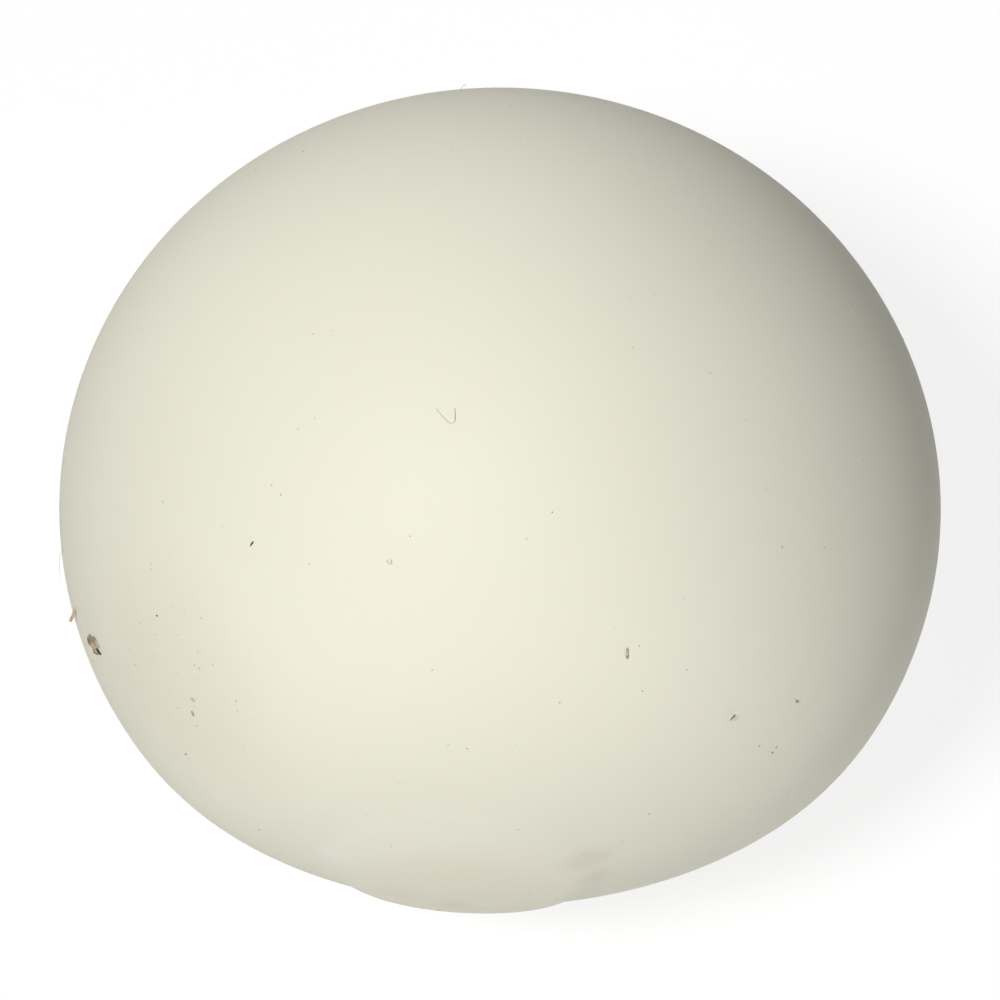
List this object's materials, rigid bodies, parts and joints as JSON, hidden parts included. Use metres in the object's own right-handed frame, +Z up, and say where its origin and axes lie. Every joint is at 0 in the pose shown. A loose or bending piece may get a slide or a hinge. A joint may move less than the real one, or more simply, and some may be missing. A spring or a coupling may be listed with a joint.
{
  "type": "table tennis ball",
  "caption": "Hollow celluloid table tennis ball, out of round, with one pole flattened and a low round boss where a dent has popped back out.",
  "frame": {"origin": "the ball's centre: the middle of the seam circle", "axes": "+Y along the ball's own axis from the flattened pole to the sound pole, with the seam in the XZ plane and the boss at -Y; +Z up, with the ball resting on the lowest point of its seam"},
  "size_m": [0.0408, 0.0377, 0.0408],
  "materials": {
    "celluloid": "matt, slightly yellowed",
    "cement": "clear amber"
  },
  "bodies": {
    "root": {"plain_half_shell": "celluloid", "dented_half_shell": "celluloid", "seam_cement": "cement"}
  },
  "joints": []
}
